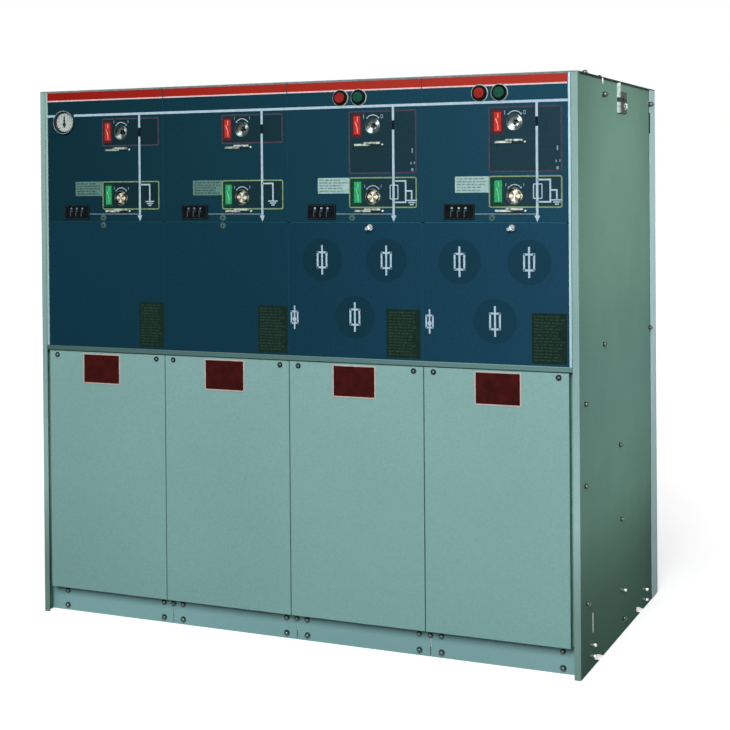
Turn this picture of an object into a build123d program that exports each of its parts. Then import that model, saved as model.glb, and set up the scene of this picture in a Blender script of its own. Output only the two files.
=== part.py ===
from build123d import *
import os

# Four-way ring main unit, free-standing on a level floor. All lengths are in millimetres.
# X runs to the viewer's right, Y from the front to the back, Z up.
# The origin is on the floor, in the middle of the unit's footprint.

# Whole unit
module_count = 4
module_pitch = 325.0
side_margin = 23.0
height = 1280.0
depth = 765.0

# Sheet thicknesses
end_sheet = 3.0
cover_sheet = 2.0
top_sheet = 3.0
plinth_sheet = 3.0
partition_sheet = 3.0

# End panels
flange_width = 14.0
ledge_width = 48.0
rear_wrap = 62.0
rear_cover_clear = 4.0
rear_turn = 12.0
slot_1_from_front = 160.0
slot_2_from_front = 570.0
slot_reach = 42.0
slot_mouth = 36.0
slot_low = 13.0
slot_high = 23.0

# Grip notches in the front edges of the rear cover's sides
grip_notch_below_top = 86.0
grip_notch_length = 52.0
grip_notch_reach = 9.0

# Heights of the front's rows; the lower blue covers fill what the other rows leave
plinth_height = 62.0
rail_bottom = 646.5
rail_height = 11.5
panel_height = 315.0
seam_gap = 2.0
module_gap = 2.0

# Depths behind the front flanges
panel_recess = 1.0
panel_rim = 60.0
cable_cover_rim = 20.0
plinth_recess = 34.0
plinth_foot = 60.0
rear_clearance = 40.0
edge_round = 1.2

# Vertical trims beside the blue panels
trim_width = 6.0
trim_depth = 14.0

# Places on an operating panel, sideways from its middle and down from the unit's top
line_shaft_x = 47.5
line_shaft_drop = 105.0
open_button_x = -30.0
close_button_x = 14.0
button_drop = 40.5
gauge_x = -112.5
gauge_drop = 77.0

# Places on an operating panel, sideways from its middle and up from its bottom edge
earth_shaft_x = 46.5
earth_shaft_rise = 56.0
indicator_x = -78.0
indicator_rise = 22.5

# The latch on a fuse cover, sideways from the cover's middle and down from its top edge
latch_x = 41.0
latch_drop = 10.0

# Operating shafts: a cup in the panel on a shaft that runs back to the tank
shaft_radius = 14.0
cup_radius = 18.0
cup_wall = 1.5
cup_reach = 1.5
cup_depth = 11.0
cup_floor = 5.0
running_gap = 0.3

# What the handle takes hold of: a ring with a hexagon socket, or a male hexagon
socket_ring_radius = 11.5
socket_ring_height = 2.5
socket_flats = 13.0
socket_depth = 24.0
hexagon_flats = 22.0

# Padlock slides under the shafts: a flat strip that runs into a raised guide
line_bar_drop = 40.0
earth_bar_drop = 30.0
bar_x = 34.0
strip_length = 38.0
strip_height = 4.5
strip_thickness = 2.0
strip_rise = -1.5
guide_length = 38.0
guide_height = 5.0
guide_thickness = 5.0
guide_rise = 2.0
guide_overlap = 14.0

# Voltage indicators
indicator_width = 70.0
indicator_height = 34.0
indicator_bezel = 3.0
indicator_lip = 2.0
indicator_depth = 24.0
indicator_sockets = 3
indicator_socket_radius = 2.4
indicator_socket_depth = 9.0
indicator_socket_pitch = 15.5
indicator_socket_rise = 8.0

# Push buttons
button_radius = 11.5
button_front = 8.0
button_travel = 4.0
button_stem_radius = 6.0
button_head = 9.0
collar_radius = 17.0
collar_front = 4.0
collar_back = 26.0
collar_thread_radius = 14.5

# Fuse cover latches
latch_front = 13.0
latch_wing_length = 19.0
latch_wing_width = 7.0
latch_notch_width = 4.0
latch_notch_depth = 4.0
latch_neck_radius = 7.0
latch_neck_length = 5.0
latch_stem_radius = 4.0
latch_cam_length = 18.0
latch_cam_width = 9.0
latch_cam_thickness = 3.0
latch_cam_gap = 5.0
latch_tilt = 25.0

# Pressure gauge
gauge_radius = 29.5
gauge_bezel = 8.0
gauge_dial_radius = 26.0
gauge_dial_depth = 7.0
gauge_case_radius = 27.0
gauge_case_depth = 30.0
gauge_glass = 1.5
gauge_glass_seat = 27.0

# Lifting lugs
lug_from_front = 358.0
lug_foot = 82.0
lug_foot_height = 50.0
lug_bottom_drop = 74.0
lug_leg_drop = 5.5
lug_leg_width = 8.5
lug_thickness = 4.0
lug_reach = 16.0
lug_ear_radius = 6.0
lug_hole_radius = 4.5
lug_hole_below_top = 44.0

# Floor anchors
anchor_radius = 7.0
anchor_inset_x = 60.0
anchor_inset_y = 30.0

# Worked out from the sizes above
front_reach = max(button_front, latch_front)
y_front = -(depth + front_reach) / 2 + front_reach
y_rear = y_front + depth
half_width = module_count * module_pitch / 2 + side_margin
x_outer = half_width - cover_sheet
x_inner = x_outer - end_sheet
x_modules = module_count * module_pitch / 2
y_panel = y_front + panel_recess
y_tank = y_panel + panel_rim
y_ledge = y_panel + cable_cover_rim
y_plinth = y_front + plinth_recess
y_back = y_rear - cover_sheet
z_top = height - top_sheet
z_floor = plinth_height - cover_sheet
z_cover_bottom = plinth_height + seam_gap
z_rail_top = rail_bottom + rail_height
z_panel_bottom = z_top - panel_height
z_cover_top = z_panel_bottom - seam_gap
line_shaft_z = height - line_shaft_drop
earth_shaft_z = z_panel_bottom + earth_shaft_rise
indicator_z = z_panel_bottom + indicator_rise
button_z = height - button_drop
gauge_z = height - gauge_drop
latch_z = z_cover_top - latch_drop
y_cup = y_panel - cup_reach
y_cup_floor = y_cup + cup_depth
fuse_modules = range(module_count // 2, module_count)


def block(x0, x1, y0, y1, z0, z1):
    """A plain block between two corners."""
    place = Pos((x0 + x1) / 2, (y0 + y1) / 2, (z0 + z1) / 2)
    return place * Box(x1 - x0, y1 - y0, z1 - z0)


def rod(x, z, y0, y1, radius):
    """A round bar along Y between two depths."""
    return Pos(x, (y0 + y1) / 2, z) * Rot(90, 0, 0) * Cylinder(radius, y1 - y0)


def module_x(index):
    """The middle of a module, counted from the left."""
    return (index - (module_count - 1) / 2) * module_pitch


def front_edges(shape, y):
    """The edges of a shape that lie in the plane at one depth."""
    return shape.edges().filter_by_position(Axis.Y, y - 0.01, y + 0.01)


def tray(x0, x1, z0, z1, y, rim):
    """A cover pressed from sheet: a flat face with its four edges turned back."""
    sheet = cover_sheet
    body = block(x0, x1, y, y + rim, z0, z1)
    body -= block(x0 + sheet, x1 - sheet, y + sheet, y + rim, z0 + sheet, z1 - sheet)
    return fillet(front_edges(body, y), min(edge_round, sheet * 0.6))


def side_slot(y):
    """The slanted slot cut into the foot of an end panel, seen from the right."""
    points = [
        (y, 0),
        (y - slot_reach, slot_low),
        (y - slot_reach, slot_high),
        (y, slot_low),
        (y + slot_mouth, 0),
    ]
    outline = make_face(Polyline(points, close=True))
    return extrude(Plane.YZ.offset(-half_width) * outline, 2 * half_width)


def end_panel(side):
    """An end panel folded from sheet, with a front flange, a ledge for the covers and a rear turn."""
    def across(x0, x1):
        return (x0, x1) if side > 0 else (-x1, -x0)

    sheet_x = across(x_inner, x_outer)
    flange_x = across(x_outer - flange_width, x_inner)
    ledge_x = across(x_outer - ledge_width, x_inner)
    rear_x = across(x_inner - rear_turn, x_inner)
    panel = block(*sheet_x, y_front, y_back, 0, height)
    panel += block(*flange_x, y_front, y_front + end_sheet, 0, height)
    panel += block(*ledge_x, y_ledge, y_ledge + end_sheet, z_cover_bottom, rail_bottom)
    panel += block(*rear_x, y_back - end_sheet, y_back, 0, z_top)
    for y in (y_front + slot_1_from_front, y_front + slot_2_from_front):
        panel -= side_slot(y)
    corner_x = side * x_outer
    corner = panel.edges().filter_by(Axis.Z).filter_by_position(Axis.X, corner_x - 0.01, corner_x + 0.01)
    corner = corner.filter_by_position(Axis.Y, y_front - 0.01, y_front + 0.01)
    return fillet(corner, end_sheet * 0.8)


def front_base_rail(index):
    """One module's stretch of the front base rail, a channel open to the back."""
    left = -x_inner if index == 0 else module_x(index) - module_pitch / 2 + seam_gap / 2
    right = x_inner if index == module_count - 1 else module_x(index) + module_pitch / 2 - seam_gap / 2
    y0 = y_plinth
    y1 = y_plinth + plinth_foot
    rail = block(left, right, y0, y1, 0, z_floor)
    rail -= block(left, right, y0 + plinth_sheet, y1, plinth_sheet, z_floor - plinth_sheet)
    for x in (-x_inner + anchor_inset_x, x_inner - anchor_inset_x):
        if left < x < right:
            rail -= Pos(x, y0 + anchor_inset_y, 0) * Cylinder(anchor_radius, 3 * plinth_sheet)
    return rail


def rear_base_rail():
    """The rear base rail, a channel open to the front, between the end panels."""
    y1 = y_back - end_sheet
    y0 = y1 - plinth_foot
    rail = block(-x_inner, x_inner, y0, y1, 0, z_floor)
    rail -= block(-x_inner, x_inner, y0, y1 - plinth_sheet, plinth_sheet, z_floor - plinth_sheet)
    for x in (-x_inner + anchor_inset_x, x_inner - anchor_inset_x):
        rail -= Pos(x, y1 - anchor_inset_y, 0) * Cylinder(anchor_radius, 3 * plinth_sheet)
    return rail


def floor_plate():
    """The closed floor of the cable compartments, lying on both base rails."""
    return block(-x_inner, x_inner, y_plinth, y_back - end_sheet, z_floor, plinth_height)


def partition(index):
    """The wall between two cable compartments, with a flange that the covers are screwed to."""
    x = module_x(index) + module_pitch / 2
    reach = x_modules - (x_outer - ledge_width)
    half_sheet = partition_sheet / 2
    web = block(x - half_sheet, x + half_sheet, y_ledge, y_back, plinth_height, rail_bottom)
    flange = block(x - reach, x + reach, y_ledge, y_ledge + partition_sheet, z_cover_bottom, rail_bottom)
    return web + flange


def gas_tank():
    """The sealed gas tank with the switches and drives, which fills the upper half behind the panels."""
    return block(-x_inner, x_inner, y_tank, y_back - rear_clearance, rail_bottom, z_top)


def rear_cover():
    """The rear cover, wrapped round both end panels, with a grip notch in each side."""
    y_edge = y_back - rear_wrap
    cover = block(-half_width, half_width, y_edge, y_rear, rear_cover_clear, z_top)
    cover -= block(-x_outer, x_outer, y_edge, y_back, rear_cover_clear, z_top)
    notch_z = height - grip_notch_below_top
    notch = Box(2 * half_width, 2 * grip_notch_reach, grip_notch_length)
    cover -= Pos(0, y_edge, notch_z) * notch
    corners = cover.edges().filter_by(Axis.Z).filter_by_position(Axis.Y, y_rear - 0.01, y_rear + 0.01)
    return fillet(corners, cover_sheet * 0.6)


def top_cover():
    """The flat roof plate between the end panels, notched round their front flanges."""
    plate = block(-x_inner, x_inner, y_front, y_back, z_top, height)
    x_notch = x_outer - flange_width
    plate -= block(x_notch, x_inner, y_front, y_front + end_sheet, z_top, height)
    plate -= block(-x_inner, -x_notch, y_front, y_front + end_sheet, z_top, height)
    return plate


def front_rail():
    """The bright horizontal rail between the blue panels and the cable covers."""
    rail = block(-x_modules - trim_width, x_modules + trim_width, y_panel, y_tank, rail_bottom, z_rail_top)
    return fillet(front_edges(rail, y_panel).filter_by(Axis.X), edge_round)


def edge_trim(side):
    """The bright upright trim beside the blue panels."""
    x0 = x_modules if side > 0 else -x_modules - trim_width
    trim = block(x0, x0 + trim_width, y_front, y_front + trim_depth, z_rail_top, z_top)
    return fillet(front_edges(trim, y_front).filter_by(Axis.Z), edge_round)


def shaft_places(index):
    """Where the two operating shafts stand on a module: the line switch, then the earthing switch."""
    x = module_x(index)
    return [(x + line_shaft_x, line_shaft_z), (x + earth_shaft_x, earth_shaft_z)]


def button_places(index):
    """Where the open and close buttons stand on a module."""
    x = module_x(index)
    return [(x + open_button_x, button_z), (x + close_button_x, button_z)]


def indicator_block(index, grow, y0, y1):
    """The voltage indicator's outline as a block between two depths."""
    x = module_x(index) + indicator_x
    half_w = indicator_width / 2 + grow
    half_h = indicator_height / 2 + grow
    return block(x - half_w, x + half_w, y0, y1, indicator_z - half_h, indicator_z + half_h)


def operating_panel(index):
    """The upper blue panel of a module, with its holes."""
    x = module_x(index)
    left = x - module_pitch / 2 + module_gap / 2
    right = x + module_pitch / 2 - module_gap / 2
    panel = tray(left, right, z_panel_bottom, z_top, y_panel, panel_rim)
    back = y_panel + 2 * cover_sheet
    for shaft_x, shaft_z in shaft_places(index):
        panel -= rod(shaft_x, shaft_z, y_panel - 1, back, cup_radius + running_gap)
    panel -= indicator_block(index, -indicator_lip, y_panel - 1, back)
    if index in fuse_modules:
        for button_x, z in button_places(index):
            panel -= rod(button_x, z, y_panel - 1, back, collar_thread_radius)
    if index == 0:
        panel -= rod(x + gauge_x, gauge_z, y_panel - 1, back, gauge_case_radius)
    return panel


def lower_cover(index):
    """The lower blue cover of a module; over the fuses it has a hole for its latch."""
    x = module_x(index)
    left = x - module_pitch / 2 + module_gap / 2
    right = x + module_pitch / 2 - module_gap / 2
    cover = tray(left, right, z_rail_top, z_cover_top, y_panel, panel_rim)
    if index in fuse_modules:
        stem_hole = latch_stem_radius + running_gap
        cover -= rod(x + latch_x, latch_z, y_panel - 1, y_panel + 2 * cover_sheet, stem_hole)
    return cover


def cable_cover(index):
    """The grey cover over a module's cable compartment."""
    x = module_x(index)
    left = x - module_pitch / 2 + module_gap / 2
    right = x + module_pitch / 2 - module_gap / 2
    return tray(left, right, z_cover_bottom, rail_bottom, y_panel, cable_cover_rim)


def shaft_cup(x, z):
    """An operating shaft with a round cup on its front end, without what the handle takes hold of."""
    y_back_of_cup = y_cup_floor + cup_floor
    cup = rod(x, z, y_cup, y_back_of_cup, cup_radius)
    cup = fillet(front_edges(cup, y_cup), cup_wall / 3)
    cup -= rod(x, z, y_cup, y_cup_floor, cup_radius - cup_wall)
    return cup + rod(x, z, y_back_of_cup, y_tank - running_gap, shaft_radius)


def hexagon(x, z, y0, y1, flats):
    """A six-sided bar along Y between two depths, with a corner towards each side."""
    outline = RegularPolygon(flats / 2, 6, major_radius=False)
    return extrude(Plane(origin=(x, y0, z), x_dir=(1, 0, 0), z_dir=(0, 1, 0)) * outline, y1 - y0)


def line_shaft(x, z):
    """The line switch's shaft: a ring with a hexagon socket stands on the cup's floor."""
    y_ring = y_cup_floor - socket_ring_height
    ring = rod(x, z, y_ring, y_cup_floor, socket_ring_radius)
    socket = hexagon(x, z, y_ring, y_ring + socket_depth, socket_flats)
    return shaft_cup(x, z) + ring - socket


def earth_shaft(x, z):
    """The earthing switch's shaft: a male hexagon stands in the cup, level with its rim."""
    return shaft_cup(x, z) + hexagon(x, z, y_cup, y_cup_floor, hexagon_flats)


def lock_bar(x, z):
    """A padlock slide on the panel under a shaft: a flat strip that runs into a raised guide."""
    length = strip_length + guide_length - guide_overlap
    left = x - length / 2
    right = x + length / 2
    strip_z = z + strip_rise - strip_height / 2
    strip_y = y_panel - strip_thickness
    strip = block(left, left + strip_length, strip_y, y_panel, strip_z, strip_z + strip_height)
    guide_z = z + guide_rise - guide_height / 2
    guide_y = y_panel - guide_thickness
    guide = block(right - guide_length, right, guide_y, y_panel, guide_z, guide_z + guide_height)
    return strip + fillet(front_edges(guide, guide_y), edge_round)


def voltage_indicator(index):
    """The voltage indicator of a module, with a lip on the panel and a row of test sockets."""
    x = module_x(index) + indicator_x
    y0 = y_panel - indicator_bezel
    body = indicator_block(index, 0, y0, y_panel)
    body = fillet(front_edges(body, y0), edge_round)
    body += indicator_block(index, -indicator_lip, y_panel, y_panel + indicator_depth)
    for column in range(indicator_sockets):
        socket_x = x + (column - (indicator_sockets - 1) / 2) * indicator_socket_pitch
        socket_z = indicator_z + indicator_socket_rise
        body -= rod(socket_x, socket_z, y0, y0 + indicator_socket_depth, indicator_socket_radius)
    return body


def push_button(x, z):
    """A push button: its head in front of the collar and its stem through it."""
    y0 = y_front - button_front
    head = rod(x, z, y0, y0 + button_head, button_radius)
    head = fillet(front_edges(head, y0), button_head / 6)
    stem = rod(x, z, y0 + button_head, y_panel + collar_back, button_stem_radius)
    return head + stem


def button_collar(x, z):
    """The threaded collar that holds a push button in the panel."""
    y0 = y_front - collar_front
    head_room = button_head - (button_front - collar_front) + button_travel + running_gap
    collar = rod(x, z, y0, y_panel, collar_radius)
    collar = fillet(front_edges(collar, y0), edge_round)
    collar += rod(x, z, y_panel, y_panel + collar_back, collar_thread_radius)
    collar -= rod(x, z, y0 - 1, y0 + head_room, button_radius + running_gap)
    collar -= rod(x, z, y0, y_panel + collar_back, button_stem_radius + running_gap)
    return collar


def cover_latch(index):
    """A quarter-turn latch: a notched wing in front of the cover and a cam behind it."""
    x = module_x(index) + latch_x
    y_face = y_panel - running_gap
    y0 = y_front - latch_front
    y_cam = y_panel + cover_sheet + latch_cam_gap
    y_neck = y_face - latch_neck_length
    wing = Box(latch_wing_length, y_neck - y0, latch_wing_width)
    wing = fillet(wing.edges().filter_by(Axis.Y), latch_wing_width / 2.2)
    notch = Box(latch_notch_width, latch_notch_depth, latch_wing_width)
    wing -= Pos(0, (y0 - y_neck + latch_notch_depth) / 2, 0) * notch
    latch = Pos(x, (y0 + y_neck) / 2, latch_z) * Rot(0, -latch_tilt, 0) * wing
    latch += rod(x, latch_z, y_neck, y_face, latch_neck_radius)
    latch += rod(x, latch_z, y_face, y_cam + latch_cam_thickness, latch_stem_radius)
    cam_y = y_cam + latch_cam_thickness / 2
    cam = Box(latch_cam_length, latch_cam_thickness, latch_cam_width)
    cam = Pos(latch_cam_length / 2 - latch_stem_radius, 0, 0) * cam
    latch += Pos(x, cam_y, latch_z) * Rot(0, 90, 0) * cam
    return latch


def gauge_case():
    """The gas pressure gauge's case, with its bezel on the panel and its dial inside."""
    x = module_x(0) + gauge_x
    y0 = y_panel - gauge_bezel
    case = rod(x, gauge_z, y0, y_panel, gauge_radius)
    case = fillet(front_edges(case, y0), gauge_bezel / 4)
    case += rod(x, gauge_z, y_panel, y_panel + gauge_case_depth, gauge_case_radius)
    case -= rod(x, gauge_z, y0 - 1, y0 + gauge_dial_depth, gauge_dial_radius)
    case -= rod(x, gauge_z, y0 - 1, y0 + gauge_glass, gauge_glass_seat)
    return case


def gauge_window():
    """The round window in the gauge's bezel."""
    x = module_x(0) + gauge_x
    y0 = y_panel - gauge_bezel
    return rod(x, gauge_z, y0, y0 + gauge_glass, gauge_glass_seat)


def lifting_lug(side):
    """An angle bolted flat to an end panel, with a holed ear on the narrow leg that stands out."""
    y0 = y_front + lug_from_front
    y_leg = y0 + lug_thickness
    z0 = height - lug_bottom_drop
    z_foot = z0 + lug_foot_height
    z_leg = height - lug_leg_drop
    if side > 0:
        foot = block(x_outer, x_outer + lug_thickness, y0, y0 + lug_foot, z0, z_foot)
        leg = block(x_outer, x_outer + lug_leg_width, y0, y_leg, z0, z_leg)
    else:
        foot = block(-x_outer - lug_thickness, -x_outer, y0, y0 + lug_foot, z0, z_foot)
        leg = block(-x_outer - lug_leg_width, -x_outer, y0, y_leg, z0, z_leg)
    hole_x = side * (x_outer + (lug_thickness + lug_reach) / 2)
    hole_z = height - lug_hole_below_top
    ear = rod(hole_x, hole_z, y0, y_leg, lug_ear_radius)
    hole = rod(hole_x, hole_z, y0 - 1, y_leg + 1, lug_hole_radius)
    return foot + leg + ear - hole


modules = range(module_count)
nodes = {
    "end_panel_left": [end_panel(-1)],
    "end_panel_right": [end_panel(1)],
    "front_base_rails": [front_base_rail(index) for index in modules],
    "rear_base_rail": [rear_base_rail()],
    "floor_plate": [floor_plate()],
    "partitions": [partition(index) for index in range(module_count - 1)],
    "gas_tank": [gas_tank()],
    "rear_cover": [rear_cover()],
    "top_cover": [top_cover()],
    "front_rail": [front_rail()],
    "edge_trims": [edge_trim(-1), edge_trim(1)],
    "gauge_case": [gauge_case()],
    "gauge_window": [gauge_window()],
    "lifting_lugs": [lifting_lug(-1), lifting_lug(1)],
}
lock_bars = []
button_collars = []
for index in modules:
    number = index + 1
    line_place, earth_place = shaft_places(index)
    nodes[f"operating_panel_{number}"] = [operating_panel(index)]
    nodes[f"cable_cover_{number}"] = [cable_cover(index)]
    nodes[f"voltage_indicator_{number}"] = [voltage_indicator(index)]
    nodes[f"line_shaft_{number}"] = [line_shaft(*line_place)]
    nodes[f"earth_shaft_{number}"] = [earth_shaft(*earth_place)]
    lock_bars.append(lock_bar(module_x(index) + bar_x, line_shaft_z - line_bar_drop))
    lock_bars.append(lock_bar(module_x(index) + bar_x, earth_shaft_z - earth_bar_drop))
    if index in fuse_modules:
        open_place, close_place = button_places(index)
        nodes[f"fuse_cover_{number}"] = [lower_cover(index)]
        nodes[f"cover_latch_{number}"] = [cover_latch(index)]
        nodes[f"open_button_{number}"] = [push_button(*open_place)]
        nodes[f"close_button_{number}"] = [push_button(*close_place)]
        button_collars.append(button_collar(*open_place))
        button_collars.append(button_collar(*close_place))
    else:
        nodes[f"lower_cover_{number}"] = [lower_cover(index)]
nodes["lock_bars"] = lock_bars
nodes["button_collars"] = button_collars

os.makedirs("parts", exist_ok=True)
for name, pieces in nodes.items():
    solids = [solid for piece in pieces for solid in piece.solids()]
    shape = solids[0] if len(solids) == 1 else Compound(children=solids)
    export_step(shape, f"parts/{name}.step")
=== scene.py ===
import math
import random

import bmesh
import bpy
from mathutils import Matrix, Vector


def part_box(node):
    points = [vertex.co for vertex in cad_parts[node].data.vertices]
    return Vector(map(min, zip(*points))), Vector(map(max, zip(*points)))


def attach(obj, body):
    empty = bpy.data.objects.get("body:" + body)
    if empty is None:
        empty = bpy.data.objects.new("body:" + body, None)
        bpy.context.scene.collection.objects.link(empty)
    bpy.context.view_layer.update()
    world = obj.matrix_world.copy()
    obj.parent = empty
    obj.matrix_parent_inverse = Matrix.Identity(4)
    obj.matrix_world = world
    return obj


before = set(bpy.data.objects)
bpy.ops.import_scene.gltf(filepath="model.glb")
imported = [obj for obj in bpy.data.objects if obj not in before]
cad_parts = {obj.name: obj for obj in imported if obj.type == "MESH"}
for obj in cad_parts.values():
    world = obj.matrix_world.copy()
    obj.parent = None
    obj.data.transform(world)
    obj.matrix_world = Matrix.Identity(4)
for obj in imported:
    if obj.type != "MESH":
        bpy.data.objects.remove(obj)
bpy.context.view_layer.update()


# Base: two channels folded from 3 mm sheet steel, powder coated grey green. The front
# one is made in four stretches, one to a module. Domed nuts hold the stretches to the
# frames of the cable compartments beside each seam.
def new_finish(name):
    made = bpy.data.materials.new(name)
    made.use_nodes = True
    return made, made.node_tree, made.node_tree.nodes["Principled BSDF"]


def feed(tree, node, inputs):
    """Gives each input of a node its value, or links it to another node's output."""
    for key, value in inputs.items():
        if isinstance(value, bpy.types.NodeSocket):
            tree.links.new(value, node.inputs[key])
        else:
            node.inputs[key].default_value = value


def add(tree, kind, inputs, **settings):
    made = tree.nodes.new("ShaderNode" + kind)
    for key, value in settings.items():
        setattr(made, key, value)
    feed(tree, made, inputs)
    return made


def coat(tree, shader, colour, roughness, metallic=0.0, specular=0.5):
    feed(tree, shader, {
        "Base Color": colour, "Roughness": roughness, "Metallic": metallic, "Specular IOR Level": specular})


def on_object(tree):
    """The object's own coordinates, in metres."""
    return add(tree, "TexCoord", {}).outputs["Object"]


def shades(tree, source, stops):
    """Colours spread along a value from 0 to 1."""
    ramp = add(tree, "ValToRGB", {"Fac": source})
    points = ramp.color_ramp.elements
    for point, (place, colour) in zip(points, (stops[0], stops[-1])):
        point.position = place
        point.color = (*colour, 1)
    for place, colour in stops[1:-1]:
        points.new(place).color = (*colour, 1)
    return ramp.outputs["Color"]


def noise(tree, scale, detail=3.0, stretch=(1, 1, 1)):
    """Soft noise on the object's own coordinates, as many lumps to the metre as scale says."""
    turn = add(tree, "Mapping", {"Vector": on_object(tree), "Scale": stretch}).outputs["Vector"]
    return add(tree, "TexNoise", {"Vector": turn, "Scale": scale, "Detail": detail}).outputs["Fac"]


def spread(tree, source, low, high):
    """A noise value between two limits."""
    limits = {"Value": source, "From Min": 0.3, "From Max": 0.7, "To Min": low, "To Max": high}
    return add(tree, "MapRange", limits).outputs["Result"]


def bump(tree, shader, source, strength, depth):
    raised = add(tree, "Bump", {"Height": source, "Strength": strength, "Distance": depth})
    tree.links.new(raised.outputs["Normal"], shader.inputs["Normal"])


def tint(colour, share):
    """A colour made lighter or darker by one share, or by a share for each of its parts."""
    shares = share if isinstance(share, tuple) else (share,) * 3
    return tuple(min(1.0, part * by) for part, by in zip(colour, shares))


def product(tree, first, second):
    """Two colours multiplied."""
    return add(tree, "Mix", {"Factor": 1.0, "A": first, "B": second},
               data_type="RGBA", blend_type="MULTIPLY", clamp_result=False).outputs["Result"]


def across(tree, axis, start, end):
    """0 to 1 between two places along an axis of the object."""
    split = add(tree, "SeparateXYZ", {"Vector": on_object(tree)})
    limits = {"Value": split.outputs[axis], "From Min": start, "From Max": end}
    return add(tree, "MapRange", limits).outputs["Result"]


def paint_light_along(finish, axis, start, end, stops):
    """Paints light and shade into the colour of a finish, as a drift along an axis of the object."""
    tree = finish.node_tree
    colour = tree.nodes["Principled BSDF"].inputs["Base Color"]
    drift = shades(tree, across(tree, axis, start, end), stops)
    tree.links.new(product(tree, colour.links[0].from_socket, drift), colour)


def specked(tree, scale, detail, share, stretch=(1, 1, 1)):
    """A fine drift in the shade, a share lighter and darker."""
    ends = [(0.3, (1 - share,) * 3), (0.7, (1 + share,) * 3)]
    return shades(tree, noise(tree, scale, detail, stretch), ends)


def mottled(name, dark, light, lumps, roughness, metallic=0.0, specular=0.5, detail=3.0, fade=(0.3, 0.7)):
    """Two close shades in soft lumps. The roughness is one value, or its own lumps and two limits."""
    made, tree, shader = new_finish(name)
    if isinstance(roughness, tuple):
        own_lumps, low, high = roughness
        roughness = spread(tree, noise(tree, own_lumps), low, high)
    mix = shades(tree, noise(tree, lumps, detail), [(fade[0], dark), (fade[1], light)])
    coat(tree, shader, mix, roughness, metallic, specular)
    return made


def grained(finish, lumps, strength, depth):
    """Gives a finish a fine raised grain."""
    tree = finish.node_tree
    bump(tree, tree.nodes["Principled BSDF"], noise(tree, lumps), strength, depth)


def sheet_paint(name, colour, roughness, specular, drift=0.05, speck=0.05):
    """Powder coat: wide soft clouds in the shade, a fine speckle and an orange peel."""
    made, tree, shader = new_finish(name)
    ends = [(0.32, tint(colour, 1 - drift)), (0.68, tint(colour, 1 + drift))]
    clouds = shades(tree, noise(tree, 2.2, 4.0), ends)
    gloss = spread(tree, noise(tree, 35.0), roughness - 0.04, roughness + 0.06)
    coat(tree, shader, product(tree, clouds, specked(tree, 260.0, 2.0, speck)), gloss, specular=specular)
    bump(tree, shader, noise(tree, 700.0, 2.0), 0.12, 0.0004)
    return made


def dress(finish, *nodes):
    for name in nodes:
        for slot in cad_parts[name].material_slots:
            slot.material = finish


def join(shape, part):
    """Adds a finished part to the piece it belongs to."""
    mesh = bpy.data.meshes.new("part")
    part.to_mesh(mesh)
    part.free()
    shape.from_mesh(mesh)
    bpy.data.meshes.remove(mesh)


def turned(shape, profile, place, steps=20):
    """A turned part: a profile of (radius, height) spun round the +Z axis, then put in place."""
    part = bmesh.new()
    points = [part.verts.new((radius, 0, rise)) for radius, rise in profile]
    edges = [part.edges.new(pair) for pair in zip(points, points[1:])]
    bmesh.ops.spin(
        part, geom=points + edges, cent=(0, 0, 0), axis=(0, 0, 1), angle=math.tau, steps=steps, use_merge=True
    )
    bmesh.ops.remove_doubles(part, verts=part.verts, dist=1e-6)
    bmesh.ops.transform(part, matrix=place, verts=part.verts)
    join(shape, part)


def dome(radius, base, rise, rings=5):
    """The profile of a dome from its foot to its top."""
    angles = [math.pi / 2 * step / rings for step in range(rings)]
    sides = [(radius * math.cos(angle), base + rise * math.sin(angle)) for angle in angles]
    return sides + [(0, base + rise)]


def domed_nut(shape, place, radius, rise):
    """A domed nut on its washer, standing along +Z before it is put in place."""
    washer = [(0, 0), (radius * 1.2, 0), (radius * 1.2, 0.0008), (radius, 0.001)]
    turned(shape, washer + dome(radius, rise * 0.35, rise * 0.65), place)


def piece(name, shape, finish, body="housing", crease=0.6):
    """Closes a mesh into a named piece that moves with a body."""
    bmesh.ops.recalc_face_normals(shape, faces=shape.faces)
    for face in shape.faces:
        face.smooth = True
    for edge in shape.edges:
        edge.smooth = len(edge.link_faces) == 2 and edge.calc_face_angle() < crease
    mesh = bpy.data.meshes.new(name)
    shape.to_mesh(mesh)
    shape.free()
    mesh.materials.append(finish)
    made = bpy.data.objects.new(name, mesh)
    bpy.context.scene.collection.objects.link(made)
    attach(made, body)


def single(name, finish, slot, make, *sizes):
    """A piece with one part."""
    shape = bmesh.new()
    make(shape, *sizes)
    piece(name, shape, finish)


def on_front(x, y, z):
    """A place on the front face at y, with its own +Z axis pointing out of the face."""
    return Matrix.Translation((x, y, z)) @ Matrix.Rotation(math.radians(90), 4, "X")


def middle(node):
    """The middle of a CAD node's box."""
    low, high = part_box(node)
    return (low + high) / 2


modules = (1, 2, 3, 4)
module_x = [middle(f"operating_panel_{number}").x for number in modules]
module_pitch = module_x[1] - module_x[0]
seam_x = [(left + right) / 2 for left, right in zip(module_x, module_x[1:])]
half_span = 0.65   # from the middle of the unit to the end panels

base_paint = sheet_paint("base_paint", (0.200, 0.375, 0.372), 0.45, 0.25)
# Painted light: the base coat is painted lighter towards the left end, and a little lighter at the right end.
paint_light_along(base_paint, "X", -half_span, half_span,
           [(0.0, (1.18, 1.20, 1.22)), (0.6, (0.97, 0.98, 1.0)), (1.0, (1.04, 1.02, 1.06))])
dress(base_paint, "front_base_rails", "rear_base_rail")

dark_nut = mottled("dark_domed_nut", (0.03, 0.05, 0.045), (0.10, 0.14, 0.13), 300.0, (500.0, 0.16, 0.3),
                   metallic=0.85)

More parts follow.
